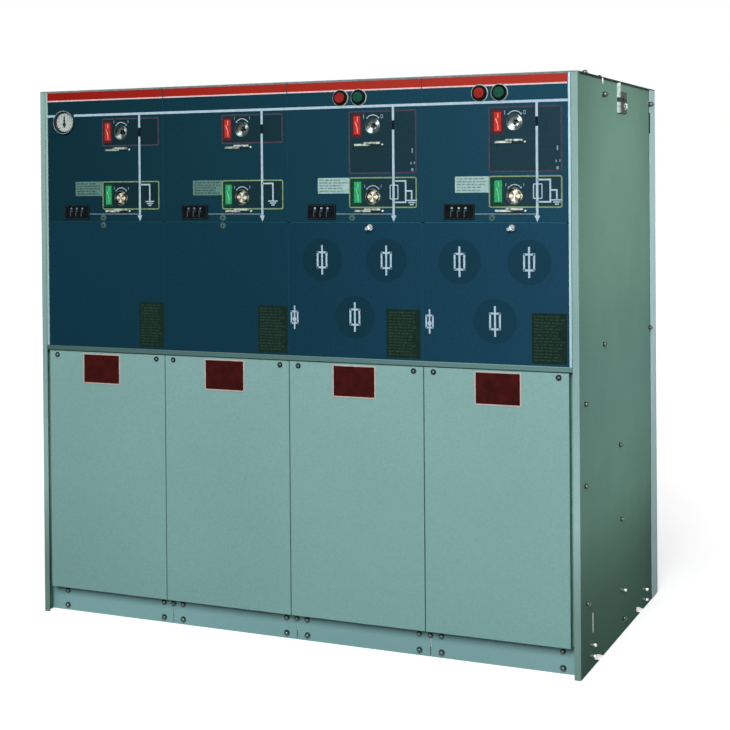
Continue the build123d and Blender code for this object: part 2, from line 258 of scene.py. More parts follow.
base_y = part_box("front_base_rails")[0].y
base_nut_rows = (0.0485, 0.012)
beside_seam = 0.026
beside_end = 0.026
base_nut_radius, base_nut_rise = 0.0062, 0.008
base_nuts = bmesh.new()
for x in seam_x:
    for z in base_nut_rows:
        for side in (-beside_seam, beside_seam):
            domed_nut(base_nuts, on_front(x + side, base_y, z), base_nut_radius, base_nut_rise)
    domed_nut(base_nuts, on_front(x, base_y, base_nut_rows[0]), base_nut_radius, base_nut_rise)
for x in (beside_end - half_span, half_span - beside_end):
    for z in base_nut_rows:
        domed_nut(base_nuts, on_front(x, base_y, z), base_nut_radius, base_nut_rise)
piece("base_nuts", base_nuts, dark_nut)


# Cable compartments: a closed floor and three partitions of galvanised sheet, bare
# metal with its grey spangle. They show only in the seams between the covers.
galvanised, tree, shader = new_finish("galvanised_sheet")
spangle = add(tree, "TexVoronoi", {"Vector": on_object(tree), "Scale": 90.0}).outputs["Distance"]
coat(tree, shader, shades(tree, spangle, [(0.1, (0.36, 0.39, 0.4)), (0.7, (0.5, 0.53, 0.54))]),
     spread(tree, noise(tree, 60.0), 0.35, 0.5), metallic=0.8)
dress(galvanised, "floor_plate", "partitions")


# Gas tank: the sealed tank behind the blue panels, welded from plain stainless sheet
# and left bare, with the fine lines of rolling running along it.
stainless, tree, shader = new_finish("stainless_sheet")
rolled = noise(tree, 40.0, 3.0, (0.2, 1, 12))
coat(tree, shader, shades(tree, rolled, [(0.3, (0.42, 0.43, 0.43)), (0.7, (0.56, 0.57, 0.57))]),
     spread(tree, rolled, 0.28, 0.42), metallic=0.9)
dress(stainless, "gas_tank")


# End panels: each is folded from 3 mm sheet with a front flange, and powder coated in
# a semi-gloss grey green. Domed nuts on studs hold the frame behind, two of them
# beside the folds of the rear cover. A short bright tab stands near the foot.
def disc(shape, radius, thickness, place, steps=20, base=0.0):
    """A plain round disc or pin."""
    top = base + thickness
    turned(shape, [(0, base), (radius, base), (radius, top), (0, top)], place, steps)


def domed_head(shape, radius, foot, shoulder, rise, place, steps=20, rings=5):
    """A round head with a domed top above its shoulder."""
    turned(shape, [(0, foot), (radius, foot)] + dome(radius, shoulder, rise, rings), place, steps)


def on_side(side, x, from_front, z):
    """A place on the end panel of one side, with its own +Z axis pointing out of the panel."""
    outwards = Matrix.Rotation(math.radians(90 * side), 4, "Y")
    return Matrix.Translation((side * x, front_y + from_front, z)) @ outwards


def bar(shape, x0, x1, y0, y1, z0, z1, ease=0.0):
    """A bar between two corners, its edges eased."""
    centre = Matrix.Translation(((x0 + x1) / 2, (y0 + y1) / 2, (z0 + z1) / 2))
    size = Matrix.Diagonal((x1 - x0, y1 - y0, z1 - z0, 1))
    made = bmesh.ops.create_cube(shape, size=1, matrix=centre @ size)["verts"]
    if ease:
        edges = list({edge for vert in made for edge in vert.link_edges})
        bmesh.ops.bevel(shape, geom=edges, offset=ease, segments=2, profile=0.5, affect="EDGES", material=-1)


def layer(side, inner, outer):
    """The X limits of a layer on one side of the unit, the smaller one first."""
    return sorted((side * inner, side * outer))


end_low, end_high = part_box("end_panel_right")
side_x = end_high.x
front_y = end_low.y

end_paint = sheet_paint("end_panel_paint", (0.215, 0.400, 0.318), 0.42, 0.0, 0.08, 0.04)
# Painted light and shade: the front flange is painted paler than the side. The coat is painted darkest at the
# foot, lightest at a quarter to a third of the height, and a little darker above the middle.
flange_painted_light, plain = (1.22, 1.03, 1.22), (1, 1, 1)
paint_light_along(end_paint, "Y", front_y + 0.002, front_y + 0.005, [(0.0, flange_painted_light), (1.0, plain)])
paint_light_along(end_paint, "Z", end_low.z, end_high.z, [
    (0.0, (0.62, 0.66, 0.63)), (0.10, (0.68, 0.71, 0.68)), (0.17, (0.84, 0.87, 0.86)),
    (0.25, (1.12, 1.14, 1.16)), (0.34, (1.10, 1.12, 1.15)), (0.46, (0.97, 0.99, 1.05)),
    (0.58, (0.88, 0.92, 0.95)), (0.70, (0.98, 0.97, 0.97)), (1.0, (0.99, 0.98, 0.96))])
dress(end_paint, "end_panel_left", "end_panel_right")

high_nut_places = ((0.218, 1.241), (0.696, 1.2406))
side_nut_places = (
    (0.215, 0.6867), (0.688, 0.6836), (0.047, 0.5756), (0.361, 0.441), (0.043, 0.402), (0.371, 0.267),
    (0.051, 0.1506), (0.388, 0.0328),
)
stud_places = ((0.365, 0.105), (0.598, 0.0506), (0.598, 0.026), (0.080, 0.0558), (0.080, 0.032))
side_nuts = bmesh.new()
stud_tips = bmesh.new()
nut_washers = bmesh.new()
stud_necks = bmesh.new()
for side in (1, -1):
    for from_front, z in high_nut_places:
        at = on_side(side, side_x, from_front, z)
        disc(nut_washers, 0.0086, 0.0012, at)
        domed_nut(side_nuts, at @ Matrix.Translation((0, 0, 0.0010)), 0.0064, 0.0138)
    for from_front, z in side_nut_places:
        domed_nut(side_nuts, on_side(side, side_x, from_front, z), 0.0055, 0.0095)
    for from_front, z in stud_places:
        at = on_side(side, side_x, from_front, z)
        disc(stud_necks, 0.0030, 0.0085, at, 12)
        domed_head(stud_tips, 0.0040, 0.0080, 0.0105, 0.0040, at, 16)
piece("side_nuts", side_nuts, dark_nut)

bright_nut = mottled("bright_domed_nut", (0.5, 0.53, 0.52), (0.68, 0.7, 0.69), 300.0, (500.0, 0.18, 0.32),
                     metallic=0.9)
zinc_neck = mottled("zinc_stud_neck", (0.12, 0.16, 0.13), (0.24, 0.28, 0.22), 400.0, 0.5, metallic=0.3)
piece("nut_washers", nut_washers, bright_nut)
piece("foot_nuts", stud_tips, bright_nut)
piece("stud_necks", stud_necks, zinc_neck)

side_tabs = bmesh.new()
for side in (1, -1):
    tab_x = layer(side, side_x, side_x + 0.0012)
    bar(side_tabs, *tab_x, front_y + 0.099, front_y + 0.102, 0.076, 0.119, 0.0003)
piece("side_tabs", side_tabs, bright_nut)


# Roof and rear cover: the roof plate lies between the end panels, and a dark green strip
# along the top of each side is painted shade under the roof's edge. The rear cover is one
# sheet in a paler coat, wrapped round both end panels. A dark strip along the edge of each
# fold is painted shade in the seam, and a black strip in each grip notch is painted shade.
dress(sheet_paint("roof_paint", (0.20, 0.37, 0.35), 0.45, 0.25), "top_cover")
dress(sheet_paint("rear_cover_paint", (0.52, 0.78, 0.80), 0.4, 0.03), "rear_cover")
rubber_and_shade = mottled("black_rubber_and_painted_shade", (0.010, 0.015, 0.014), (0.022, 0.032, 0.029), 200.0, 0.75, specular=0.02)
grained(rubber_and_shade, 900.0, 0.3, 0.0003)
shade_strip_green = mottled("dark_green_painted_shade", (0.016, 0.034, 0.026), (0.032, 0.062, 0.048), 200.0, 0.7,
                       specular=0.02)

rear_low, rear_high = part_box("rear_cover")
roof_low, roof_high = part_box("top_cover")
roof_top = roof_high.z
wrap_y = front_y + 0.701   # where the rear cover's fold begins on the side
roof_edge_shade = bmesh.new()
notch_shade = bmesh.new()
wrap_joint_shade = bmesh.new()
roof_clips = bmesh.new()
for side in (1, -1):
    roof_shade_x = layer(side, side_x, side_x + 0.0014)
    # Painted shade: a dark strip under the roof's edge, along the side and over the fold.
    bar(roof_edge_shade, *roof_shade_x, front_y + 0.0145, wrap_y, roof_top - 0.0058, roof_top - 0.0002, 0.0005)
    fold_x = layer(side, side_x, rear_high.x + 0.0004)
    bar(roof_edge_shade, *fold_x, wrap_y, rear_high.y - 0.002, roof_top - 0.003, roof_top - 0.0002, 0.0005)
    notch_shade_x = layer(side, side_x, side_x + 0.0012)
    # Painted shade: a black strip lying in the grip notch.
    bar(notch_shade, *notch_shade_x, wrap_y - 0.0005, wrap_y + 0.009, roof_top - 0.112, roof_top - 0.06)
    joint_x = layer(side, side_x, side_x + 0.0006)
    # Painted shade: a dark strip along the seam at the fold's edge.
    bar(wrap_joint_shade, *joint_x, wrap_y - 0.0022, wrap_y + 0.0002, rear_low.z, roof_top - 0.006)
    clip_x = layer(side, side_x, side_x + 0.0020)
    bar(roof_clips, *clip_x, front_y + 0.213, front_y + 0.219, roof_top - 0.0165, roof_top - 0.0030, 0.0005)
piece("roof_edge_shade", roof_edge_shade, shade_strip_green)
piece("notch_shade", notch_shade, rubber_and_shade)
piece("wrap_joint_shade", wrap_joint_shade, shade_strip_green)

roof_bolts = bmesh.new()
domed_nut(roof_bolts, Matrix.Translation((side_x - 0.007, front_y + 0.090, roof_top)), 0.0062, 0.0075)
domed_nut(roof_bolts, Matrix.Translation((side_x - 0.006, front_y + 0.215, roof_top)), 0.0045, 0.0042)
piece("roof_bolts", roof_bolts, dark_nut)
piece("roof_clips", roof_clips, bright_nut)

rear_screw_x = (-0.64, -0.2135, 0.2135, 0.64)
rear_screw_z = (0.1, 0.385, 0.67, 0.955, 1.235)
rear_screws = bmesh.new()
for z in rear_screw_z:
    for x in rear_screw_x:
        if abs(x) == rear_screw_x[-1] or z in (rear_screw_z[0], rear_screw_z[-1]):
            at = Matrix.Translation((x, rear_high.y, z)) @ Matrix.Rotation(math.radians(-90), 4, "X")
            domed_nut(rear_screws, at, 0.006, 0.0055)
piece("rear_screws", rear_screws, bright_nut)


# Rail and trims: satin anodised aluminium, painted lighter towards the right end as painted
# light. The rail covers the joint between the blue panels and the cable covers. A dark strip
# under it is painted shadow, and a pale strip along its top edge is a painted highlight. An
# upright trim closes the blue panels at each side.
def satin(name, stretch, left, right, metallic, streaks):
    """Anodised aluminium, with fine lines drawn along it, its colour running between two end colours as
    painted light, brighter towards the right end.
    """
    made, tree, shader = new_finish(name)
    ends = shades(tree, across(tree, "X", -half_span, half_span), [(0.0, left), (1.0, right)])
    gloss = spread(tree, noise(tree, 30.0, 3.0, stretch), 0.34, 0.46)
    coat(tree, shader, product(tree, ends, specked(tree, 30.0, 3.0, streaks, stretch)), gloss, metallic, 0.06)
    return made


lengthways, upright = (0.4, 10, 25), (10, 10, 0.4)
rail_metal = satin("satin_rail", lengthways, (0.058, 0.124, 0.116), (0.112, 0.218, 0.212), 0.12, 0.08)
rail_edge_highlight = satin("satin_rail_edge", lengthways, (0.085, 0.165, 0.160), (0.165, 0.300, 0.295), 0.12, 0.08)
trim_metal = satin("satin_trim", upright, (0.29, 0.44, 0.43), (0.32, 0.49, 0.54), 0.3, 0.06)
dress(rail_metal, "front_rail")
dress(trim_metal, "edge_trims")

rail_low, rail_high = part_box("front_rail")
cover_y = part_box("cable_cover_1")[0].y
# Painted highlight: a paler strip along the rail's top edge.
single("rail_top_highlight", rail_edge_highlight, "bright_rail", bar, rail_low.x, rail_high.x, cover_y - 0.0006, cover_y,
       rail_high.z - 0.0022, rail_high.z - 0.0004, 0.0002)
# Painted shadow: a dark strip under the rail.
single("rail_shadow_strip", shade_strip_green, "black_plastic", bar, -half_span, half_span, cover_y - 0.0005, cover_y,
       rail_low.z - 0.0016, rail_low.z + 0.0002)


# Cable covers: four lift-off covers pressed from 2 mm sheet and powder coated, each
# held by two screws with dark washers at its top corners. Each carries a bare dark
# red plate with a pale edge, glued flat to the sheet.
def raise_film(part, thickness):
    """Gives flat faces on the front their thickness."""
    made = bmesh.ops.extrude_face_region(part, geom=part.faces[:])["geom"]
    verts = [item for item in made if isinstance(item, bmesh.types.BMVert)]
    bmesh.ops.translate(part, verts=verts, vec=(0, -thickness, 0))


def oblong(x0, x1, z0, z1, y, corner, segments=3):
    """One flat face at y with rounded corners."""
    part = bmesh.new()
    corners = [part.verts.new((x, y, z)) for x, z in ((x0, z0), (x1, z0), (x1, z1), (x0, z1))]
    part.faces.new(corners)
    bmesh.ops.bevel(
        part, geom=corners, offset=corner, segments=segments, profile=0.5, affect="VERTICES", material=-1
    )
    return part


def rounded_plate(shape, x0, x1, z0, z1, y, corner, thickness):
    """A flat plate with rounded corners on the face at y."""
    part = oblong(x0, x1, z0, z1, y, corner)
    raise_film(part, thickness)
    join(shape, part)


def outline(shape, x0, x1, z0, z1, y, stroke, corner, thickness):
    """A frame line of one stroke with rounded corners, standing a thickness off the face at y."""
    part = oblong(x0, x1, z0, z1, y, corner, 4)
    ring = bmesh.ops.inset_region(
        part, faces=part.faces, thickness=stroke, use_even_offset=True, use_boundary=True
    )["faces"]
    inner = [face for face in part.faces if face not in ring]
    bmesh.ops.delete(part, geom=inner, context="FACES")
    raise_film(part, thickness)
    join(shape, part)


cover_paint = sheet_paint("cable_cover_paint", (0.207, 0.378, 0.352), 0.5, 0.2, 0.04, 0.06)
# Painted light: the cover coat is painted a little darker towards the foot and lighter towards the top.
paint_light_along(cover_paint, "Z", 0.06, 0.65,
           [(0.0, (0.93, 0.98, 0.99)), (0.55, (0.98, 1.0, 1.03)), (1.0, (1.05, 1.04, 1.06))])
dress(cover_paint, *(f"cable_cover_{number}" for number in modules))
plate_red = mottled("plate_dark_red", (0.032, 0.005, 0.004), (0.056, 0.007, 0.006), 60.0, (120.0, 0.35, 0.5),
                    specular=0.03, detail=4.0, fade=(0.35, 0.65))
plate_edge = mottled("plate_pale_edge", (0.42, 0.33, 0.30), (0.54, 0.44, 0.41), 90.0, 0.5)

screw_reach, screw_z = 0.1395, 0.635
plate_shifts = (-0.0130, -0.0035, -0.0025, 0.0060)   # from each module's middle
plate_half, plate_foot, plate_head, plate_border = 0.05, 0.5705, 0.6395, 0.0018
screw_washers = bmesh.new()
screw_heads = bmesh.new()
door_plates = bmesh.new()
door_plate_edges = bmesh.new()
for x, shift in zip(module_x, plate_shifts):
    for side in (-screw_reach, screw_reach):
        at = on_front(x + side, cover_y, screw_z)
        turned(screw_washers, [(0, 0), (0.0063, 0), (0.0063, 0.001), (0.0056, 0.0014), (0, 0.0014)], at)
        domed_head(screw_heads, 0.0034, 0.0012, 0.0018, 0.0018, at, 12)
    x0, x1 = x + shift - plate_half, x + shift + plate_half
    rounded_plate(door_plates, x0, x1, plate_foot, plate_head, cover_y, 0.002, 0.0007)
    outline(door_plate_edges, x0 - plate_border, x1 + plate_border, plate_foot - plate_border,
            plate_head + plate_border, cover_y, 0.0026, 0.002, 0.0009)
piece("screw_washers", screw_washers, rubber_and_shade)
piece("screw_heads", screw_heads, dark_nut)
piece("door_plates", door_plates, plate_red)
piece("door_plate_edges", door_plate_edges, plate_edge)


# Lower blue covers: lift-off covers in a dark blue coat, two plain ones and two over
# the fuse tubes. Pale blue strips in the joints are painted highlights on the covers' edges.
# Printed films carry the fuse symbols on dark discs, and a dark instruction label with rows
# of small print.
def blue_coat(name, share, left=1.0, speck=0.08):
    """The blue coat, painted a little paler towards the right end of the unit as painted light."""
    made, tree, shader = new_finish(name)
    far_left = tint((0.0042, 0.028, 0.041), left)
    stops = [(0.0, far_left), (0.45, (0.0060, 0.037, 0.056)), (1.0, (0.0105, 0.054, 0.088))]
    stops = [(at, tint(colour, share)) for at, colour in stops]
    base = shades(tree, across(tree, "X", -half_span, half_span), stops)
    gloss = spread(tree, noise(tree, 30.0), 0.36, 0.46)
    coat(tree, shader, product(tree, base, specked(tree, 160.0, 3.0, speck)), gloss, specular=0.02)
    bump(tree, shader, noise(tree, 800.0, 2.0), 0.08, 0.0003)
    return made


def print_film(name, light, dark, roughness=0.5, scale=150.0):
    """Printed or self-adhesive film: two close shades where the print is worn."""
    gloss = (80.0, roughness - 0.05, roughness + 0.08)
    return mottled(name, dark, light, scale, gloss, specular=0.03, fade=(0.35, 0.65))


def film_bar(shape, x0, x1, z0, z1, y, thickness=0.0004):
    """A straight printed line on the face at y."""
    bar(shape, x0, x1, y - thickness, y, z0, z1)


def fuse_symbol(shape, x, z, y, width, rise, reach, stroke):
    """The drawing sign of a fuse: an upright oblong on a line."""
    film_bar(shape, x - stroke / 2, x + stroke / 2, z - reach / 2, z + reach / 2, y)
    outline(shape, x - width / 2, x + width / 2, z - rise / 2, z + rise / 2, y, stroke, 0.0006, 0.0005)


def small_print(shape, x0, x1, z0, z1, rows, y, draw):
    """Rows of short bars in place of a label's words."""
    pitch = (z1 - z0) / rows
    for row in range(rows):
        x = x0
        z = z1 - (row + 0.5) * pitch
        end = x1 - draw.uniform(0.0, 0.25) * (x1 - x0)
        while x < end - 0.003:
            length = draw.uniform(0.004, 0.012)
            film_bar(shape, x, min(x + length, end), z - pitch * 0.24, z + pitch * 0.24, y, 0.0002)
            x += length + draw.uniform(0.0015, 0.003)


lower_blue = blue_coat("lower_cover_blue", (0.93, 0.96, 1.06), 1.33)
dress(lower_blue, "lower_cover_1", "lower_cover_2", "fuse_cover_3", "fuse_cover_4")
dress(blue_coat("panel_blue", 1.0), *(f"operating_panel_{number}" for number in modules))

panel_low, panel_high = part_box("operating_panel_1")
panel_y = panel_low.y
# Painted highlights: pale strips in the upright joints between the panels, and one along the joint at the
# panels' foot.
joint_highlights = bmesh.new()
for x in seam_x:
    bar(joint_highlights, x - 0.001, x + 0.001, panel_y + 0.0006, panel_y + 0.004, rail_high.z, panel_high.z)
piece("joint_highlights", joint_highlights, blue_coat("joint_painted_highlight", 1.35))
seam_highlight = bmesh.new()
for x in module_x:
    bar(seam_highlight, x - 0.158, x + 0.158, panel_y + 0.0005, panel_y + 0.004,
        panel_low.z - 0.0016, panel_low.z - 0.0002)
piece("seam_highlight", seam_highlight, blue_coat("seam_painted_highlight", 2.6))

white_print = print_film("white_print", (0.42, 0.56, 0.65), (0.35, 0.48, 0.57))
faint_print_and_shade = print_film("faint_print_and_shade", (0.22, 0.31, 0.38), (0.14, 0.22, 0.28))
label_green = print_film("dark_label", (0.009, 0.025, 0.018), (0.006, 0.018, 0.013), 0.5, 90.0)
label_lines = print_film("dark_label_lines", (0.024, 0.054, 0.036), (0.013, 0.034, 0.024), 0.6, 200.0)
disc_film = blue_coat("disc_blue", 0.77)

draw = random.Random(11)
label_spans = ((0.094, 0.161), (0.085, 0.1595), (0.0765, 0.156), (0.082, 0.158))   # from the module's middle
label_foot, label_head = 0.663, 0.770
disc_places = ((-0.078, 0.8765), (0.077, 0.877), (0.001, 0.7495))
disc_radius = 0.048
striker_x, striker_z = -0.1475, 0.745
for number, x in zip(modules, module_x):
    fuse = number > 2
    cover = f"fuse_cover_{number}" if fuse else f"lower_cover_{number}"
    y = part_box(cover)[0].y
    x0, x1 = (x + edge for edge in label_spans[number - 1])
    single(f"instruction_label_{number}", label_green, None,
           rounded_plate, x0, x1, label_foot, label_head, y, 0.0015, 0.0003)
    single(f"instruction_lines_{number}", label_lines, None,
           small_print, x0 + 0.005, x1 - 0.004, label_foot + 0.004, label_head - 0.004, 15, y - 0.0003, draw)
    if fuse:
        discs = bmesh.new()
        signs = bmesh.new()
        for disc_x, disc_z in disc_places:
            disc(discs, disc_radius, 0.0002, on_front(x + disc_x, y, disc_z), 48)
            fuse_symbol(signs, x + disc_x, disc_z, y, 0.026, 0.038, 0.066, 0.0042)
        fuse_symbol(signs, x + striker_x, striker_z, y, 0.019, 0.030, 0.053, 0.0036)
        disc(signs, 0.005, 0.0006, on_front(x + striker_x, y, striker_z - 0.004), 16)
        piece(f"fuse_discs_{number}", discs, disc_film)
        piece(f"fuse_symbols_{number}", signs, white_print)


# Operating panels: the upper blue panels, with a red header stripe along the whole
# unit. The line diagram, the frames round the switches and the labels are printed
# films. The red and green plates show how the line and earthing switches stand.
def patch(shape, corners, y, thickness=0.0004):
    """A small flat shape with straight sides on the face at y."""
    part = bmesh.new()
    part.faces.new([part.verts.new((x, y, z)) for x, z in corners])
    raise_film(part, thickness)
    join(shape, part)


def arc(shape, x, z, radius, stroke, start, end, y, steps=14, thickness=0.0004):
    """A printed arc, its angles in degrees from the right and upwards."""
    part = bmesh.new()
    along = Vector((math.cos(math.radians(start)), 0, math.sin(math.radians(start))))
    ends = []
    for reach, depth in ((radius - stroke / 2, 0), (radius + stroke / 2, 0),
                         (radius + stroke / 2, thickness), (radius - stroke / 2, thickness)):
        ends.append(part.verts.new(Vector((x, y - depth, z)) + along * reach))
    face = part.faces.new(ends)
    bmesh.ops.spin(part, geom=[face], cent=(x, y, z), axis=(0, -1, 0), angle=math.radians(end - start),
                   steps=steps, use_merge=False)
    join(shape, part)


def pierced_plate(shape, x0, x1, z0, z1, y, corner, thickness, shaft, hole_radius=0.0192):
    """A flat plate with rounded corners on the face at y, and a round hole about a shaft."""
    part = oblong(x0, x1, z0, z1, y, corner)
    bmesh.ops.delete(part, geom=part.faces[:], context="FACES_ONLY")
    at = on_front(shaft.x, y, shaft.z)
    bmesh.ops.create_circle(part, cap_ends=False, radius=hole_radius, segments=32, matrix=at)
    bmesh.ops.triangle_fill(part, use_beauty=True, use_dissolve=False, edges=part.edges[:], normal=(0, -1, 0))
    raise_film(part, thickness)
    join(shape, part)


def switch_arc(shape, shaft, y):
    """The printed arc over a shaft, an arrowhead at each end."""
    rise, radius, stroke, reach = 0.0075, 0.0170, 0.0017, 50
    arc(shape, shaft.x, shaft.z + rise, radius, stroke, 90 - reach, 90 + reach, y)
    for side in (-1, 1):
        lean = math.radians(90 - side * reach)
        tip_x, tip_z = shaft.x + radius * math.cos(lean), shaft.z + rise + radius * math.sin(lean)
        head = [(0.0024, -0.0022), (0.0020, 0.0014), (-0.0016, 0.0016), (-0.0008, -0.0018)][::side]
        patch(shape, [(tip_x + side * out, tip_z + up) for out, up in head], y)


def ground_sign(shape, x, z, y):
    """The drawing sign of an earth: three shorter and shorter bars."""
    for row, half in enumerate((0.0118, 0.0078, 0.0042)):
        film_bar(shape, x - half, x + half, z - 0.0014 - 0.0045 * row, z + 0.0012 - 0.0045 * row, y)


def contact_sign(shape, x, z, y, reach):
    """The drawing sign of an open switch: a line broken by a slanted blade."""
    for side in (-1, 1):
        film_bar(shape, x - 0.0011, x + 0.0011, z + side * reach * 0.72 - reach * 0.28,
                 z + side * reach * 0.72 + reach * 0.28, y, 0.0002)
    low = z - reach * 0.44
    patch(shape, [(x - 0.001, low), (x + 0.0013, low), (x - 0.0040, z + reach * 0.42),
                  (x - 0.0062, z + reach * 0.38)], y, 0.0002)


def fuse_branch(shape, marks, x, line_x, y):
    """The fuse on the line, the branch round it to earth, and the marks beside the field."""
    branch_x, earth_line_x = x + 0.1258, x + 0.1396
    outline(shape, x + 0.0865, x + 0.107, 1.0118, 1.0443, y, 0.0021, 0.002, 0.0003)
    film_bar(shape, line_x, branch_x, 1.0508, 1.0542, y)
    film_bar(shape, line_x, branch_x, 1.0038, 1.0072, y)
    film_bar(shape, branch_x - 0.0036, branch_x, 1.0072, 1.0508, y)
    film_bar(shape, branch_x, earth_line_x, 1.0288, 1.0320, y)
    film_bar(shape, earth_line_x - 0.0032, earth_line_x, 1.0105, 1.0288, y)
    ground_sign(shape, x + 0.138, 1.0095, y)
    film_bar(marks, x + 0.1385, x + 0.1415, 1.114, 1.124, y)
    for mark_x, mark_z in ((0.137, 1.0915), (0.145, 1.0920)):
        film_bar(marks, x + mark_x - 0.0014, x + mark_x + 0.0014, mark_z - 0.0026, mark_z + 0.0026, y)
    film_bar(marks, x + 0.1375, x + 0.1425, 1.0738, 1.0802, y)


def plain_branch(shape, x, line_x, y):
    """The branch from the line straight to earth."""
    branch_x = x + 0.1272
    film_bar(shape, line_x, branch_x, 1.0480, 1.0514, y)
    film_bar(shape, branch_x - 0.0034, branch_x, 1.0105, 1.0480, y)
    ground_sign(shape, x + 0.1255, 1.0095, y)


def arc_marks(shape, knob, earth, fuse, y):
    """The small marks at the ends of both arcs."""
    if fuse:
        film_bar(shape, knob.x - 0.0232, knob.x - 0.0210, knob.z + 0.0165, knob.z + 0.0260, y)
        outline(shape, knob.x + 0.0185, knob.x + 0.0245, knob.z + 0.0165, knob.z + 0.0255, y,
                0.0016, 0.0026, 0.0003)
    else:
        for x0 in (knob.x - 0.0205, knob.x + 0.0187):
            film_bar(shape, x0, x0 + 0.0018, knob.z + 0.0225, knob.z + 0.0290, y)
    for x0 in (earth.x - 0.0205, earth.x + 0.0190):
        film_bar(shape, x0, x0 + 0.0018, earth.z + 0.0205, earth.z + 0.0270, y)


stripe_red, tree, shader = new_finish("header_red")
# Painted light: the red is painted lighter towards the right end.
coat(tree, shader, shades(tree, across(tree, "X", -half_span, half_span),
                          [(0.0, (0.28, 0.010, 0.006)), (1.0, (0.37, 0.033, 0.022))]),
     spread(tree, noise(tree, 80.0), 0.34, 0.46), specular=0.03)
stripe_edge = print_film("header_pale_line", (0.72, 0.55, 0.56), (0.62, 0.46, 0.47))
header_grey = print_film("header_grey_edge", (0.24, 0.27, 0.28), (0.16, 0.19, 0.2))
frame_red = print_film("frame_dull_red", (0.070, 0.056, 0.078), (0.048, 0.040, 0.058))
frame_green = print_film("frame_yellow_green", (0.23, 0.33, 0.17), (0.16, 0.25, 0.12))
red_ground = print_film("sign_red_ground", (0.085, 0.020, 0.022), (0.055, 0.016, 0.020))
red_face = print_film("sign_red_face", (0.50, 0.035, 0.028), (0.40, 0.025, 0.02))
red_stroke = print_film("sign_red_stroke", (0.85, 0.32, 0.26), (0.75, 0.2, 0.16))
green_ground = print_film("sign_green_ground", (0.008, 0.060, 0.030), (0.006, 0.038, 0.022))
green_face = print_film("sign_green_face", (0.04, 0.36, 0.15), (0.03, 0.28, 0.11))
green_stroke = print_film("sign_green_stroke", (0.15, 0.62, 0.34), (0.1, 0.5, 0.26))
label_white = print_film("white_label", (0.35, 0.52, 0.50), (0.27, 0.43, 0.41))
label_white_in_shade = print_film("white_label_painted_shade", (0.115, 0.23, 0.21), (0.085, 0.185, 0.165))
label_grey = print_film("white_label_print", (0.20, 0.29, 0.28), (0.13, 0.20, 0.19), 0.6, 260.0)
label_print_in_shade = print_film("white_label_print_painted_shade", (0.055, 0.10, 0.09), (0.035, 0.07, 0.062), 0.6, 260.0)
black_print = print_film("black_print", (0.008, 0.012, 0.016), (0.004, 0.006, 0.008))
dull_screw = print_film("dull_screw", (0.078, 0.155, 0.145), (0.035, 0.080, 0.078), 0.5, 300.0)
inner_film = blue_coat("inner_dark_blue", (1.25, 0.75, 0.64))

line_foot, stripe_foot, stripe_head, edge_head = 1.2538, 1.257, 1.2755, 1.277
header = bmesh.new()
header_line = bmesh.new()
header_top = bmesh.new()
film_bar(header_top, roof_low.x, roof_high.x, roof_top - 0.0026, roof_top - 0.0002, roof_low.y, 0.0005)
for x in module_x:
    x0, x1 = x - module_pitch / 2 + 0.001, x + module_pitch / 2 - 0.001
    film_bar(header, x0, x1, stripe_foot, stripe_head, panel_y, 0.0005)
    film_bar(header_line, x0, x1, line_foot, stripe_foot, panel_y, 0.0005)
    film_bar(header_top, x0, x1, stripe_head, edge_head, panel_y, 0.0005)
piece("header_stripe", header, stripe_red)
piece("header_line", header_line, stripe_edge)
piece("header_edge", header_top, header_grey)

gauge_low, gauge_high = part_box("gauge_case")
gauge_x, gauge_z = middle("gauge_case").x, middle("gauge_case").z
gauge_radius = (gauge_high.x - gauge_low.x) / 2
busbar_foot, busbar_head = 1.2162, 1.2218
busbar = bmesh.new()
film_bar(busbar, -half_span, gauge_x - gauge_radius + 0.003, busbar_foot, busbar_head, panel_y)
film_bar(busbar, gauge_x + gauge_radius - 0.003, half_span, busbar_foot, busbar_head, panel_y)
piece("busbar_line", busbar, white_print)

